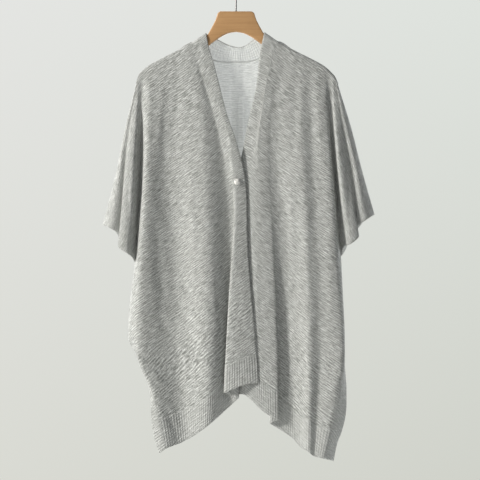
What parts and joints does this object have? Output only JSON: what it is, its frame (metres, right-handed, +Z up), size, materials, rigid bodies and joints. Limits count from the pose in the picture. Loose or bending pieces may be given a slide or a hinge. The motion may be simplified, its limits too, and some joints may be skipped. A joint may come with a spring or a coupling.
{
  "type": "knit poncho cardigan on a wooden hanger",
  "caption": "Batwing open-front cardigan in heather knit with ribbed hem, side slits and one pearl button, hanging flat on a wooden hanger with a wire hook.",
  "frame": {"origin": "inside the hook at its highest point, where the rail or peg that holds the hanger bears", "axes": "+X to the viewer's right along the hanger, +Y from the fronts to the back, +Z up"},
  "size_m": [0.5708, 0.073, 1.0208],
  "materials": {
    "knit": "heather grey stockinette knit, matt and slightly fuzzy",
    "rib": "the same yarn in a 1 by 1 rib",
    "pearl": "pearly white with a soft gloss",
    "wood": "light brown, smooth and lacquered",
    "wire": "dark polished wire"
  },
  "bodies": {
    "root": {"front_left": "knit", "front_right": "knit", "back": "knit", "band_neck": "rib", "hem_front_left": "rib", "hem_front_right": "rib", "hem_back": "rib", "slit_front_left": "rib", "slit_front_right": "rib", "slit_back_left": "rib", "slit_back_right": "rib", "button": "pearl", "hanger": "wood", "hook": "wire"}
  },
  "joints": []
}
